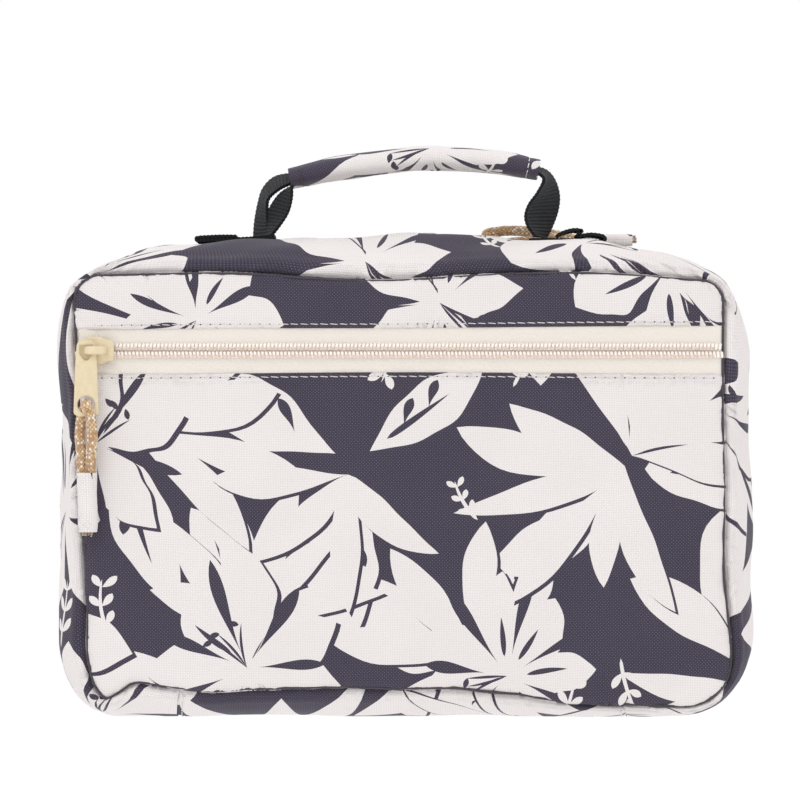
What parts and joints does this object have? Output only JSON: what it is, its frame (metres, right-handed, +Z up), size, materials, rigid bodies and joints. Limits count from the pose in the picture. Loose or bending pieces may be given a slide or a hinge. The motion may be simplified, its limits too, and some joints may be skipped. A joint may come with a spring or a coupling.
{
  "type": "hanging toiletry bag",
  "caption": "Soft rectangular toiletry bag with a top handle, zip front pocket, fabric-hinged back lid closed by a zip, inner mesh pockets and a fold-out hook for hanging.",
  "frame": {"origin": "on the ground under the middle of the bag, on the flat underside of the bottom panel", "axes": "+X to the bag's right as seen from the front, -Y out of the front pocket, +Z up to the handle"},
  "size_m": [0.28, 0.0895, 0.2302],
  "materials": {
    "canvas": null,
    "lining": "thin plain woven polyester lining",
    "foam": "closed-cell foam sheet",
    "mesh": "knitted nylon mesh",
    "tape": "woven cream zip tape",
    "coil": "polyester zip coil sewn to the tape",
    "webbing": "ribbed nylon webbing",
    "enamel": "pale cream enamel on zinc",
    "cord": "round braid with metallic thread",
    "plastic": "moulded black nylon"
  },
  "bodies": {
    "bag": {"front_panel_lower": "canvas", "front_panel_upper": "canvas", "pocket_tape_lower": "tape", "pocket_tape_upper": "tape", "pocket_coil_lower": "coil", "pocket_coil_upper": "coil", "pocket_backing": "lining", "front_foam": "foam", "body_gusset": "canvas", "bottom_panel": "canvas", "body_lining": "lining", "body_binding": "webbing", "main_tape_body": "tape", "main_coil_body": "coil", "body_mesh_pocket": "mesh", "body_mesh_elastic": "webbing", "handle_base_left": "webbing", "handle_base_right": "webbing"},
    "lid": {"back_panel": "canvas", "lid_gusset": "canvas", "lid_hinge_strip": "canvas", "main_tape_lid": "tape", "main_coil_lid": "coil", "lid_foam": "foam", "lid_lining": "lining", "lid_binding": "webbing", "lid_mesh_lower": "mesh", "lid_mesh_upper": "mesh", "lid_pocket_tape_lower": "tape", "lid_pocket_tape_upper": "tape", "lid_pocket_coil_lower": "coil", "lid_pocket_coil_upper": "coil", "hook_tab": "webbing"},
    "hook": {"hook": "plastic"},
    "handle": {"handle_grip_cover": "canvas", "handle_grip_core": "foam", "handle_webbing_left": "webbing", "handle_webbing_right": "webbing"},
    "pocket_slider": {"pocket_slider": "enamel"},
    "pocket_pull": {"pocket_pull": "enamel"},
    "pocket_tassel": {"pocket_pull_cord": "cord", "pocket_cord_tip": "canvas"},
    "main_slider": {"main_slider": "enamel"},
    "main_pull": {"main_pull": "enamel"},
    "main_tassel": {"main_pull_cord": "cord", "main_cord_tip": "canvas"},
    "lid_slider": {"lid_slider": "enamel"},
    "lid_pull": {"lid_pull": "enamel"}
  },
  "joints": [
    {"name": "lid_hinge", "type": "hinge", "parent": "bag", "child": "lid", "pos_m": [0, 0.02, 0], "axis": [-1, 0, 0], "range_deg": [0, 180]},
    {"name": "hook_fold", "type": "hinge", "parent": "lid", "child": "hook", "pos_m": [0, 0.017, 0.1799], "axis": [-1, 0, 0], "range_deg": [0, 180]},
    {"name": "handle_swing", "type": "hinge", "parent": "bag", "child": "handle", "pos_m": [0, 0, 0.1935], "axis": [1, 0, 0], "range_deg": [-45, 60], "deforming": ["handle_webbing_left", "handle_webbing_right"]},
    {"name": "pocket_slide", "type": "slide", "parent": "bag", "child": "pocket_slider", "axis": [1, 0, 0], "range_m": [0, 0.236]},
    {"name": "pocket_pull_swing", "type": "hinge", "parent": "pocket_slider", "child": "pocket_pull", "pos_m": [-0.12635, -0.0452, 0.1465], "axis": [0, 1, 0], "range_deg": [-25, 60]},
    {"name": "pocket_tassel_swing", "type": "hinge", "parent": "pocket_pull", "child": "pocket_tassel", "pos_m": [-0.12635, -0.0452, 0.1252], "axis": [0, 1, 0], "range_deg": [-30, 30]},
    {"name": "main_slide", "type": "slide", "parent": "bag", "child": "main_slider", "axis": [1, 0, 0], "range_m": [-0.09, 0.07]},
    {"name": "main_pull_flip", "type": "hinge", "parent": "main_slider", "child": "main_pull", "pos_m": [0.009, 0.02, 0.19395], "axis": [0, -1, 0], "range_deg": [0, 175]},
    {"name": "main_tassel_swing", "type": "hinge", "parent": "main_pull", "child": "main_tassel", "pos_m": [0.0334, 0.02, 0.19395], "axis": [0, 0, 1], "range_deg": [0, 60]},
    {"name": "lid_pocket_slide", "type": "slide", "parent": "lid", "child": "lid_slider", "axis": [1, 0, 0], "range_m": [0, 0.215]},
    {"name": "lid_pull_swing", "type": "hinge", "parent": "lid_slider", "child": "lid_pull", "pos_m": [-0.11063, 0.02857, 0.078], "axis": [0, 1, 0], "range_deg": [-25, 60]}
  ],
  "couplings": [
    {"joint": "hook_fold", "follows": "lid_hinge", "ratio": 1}
  ]
}
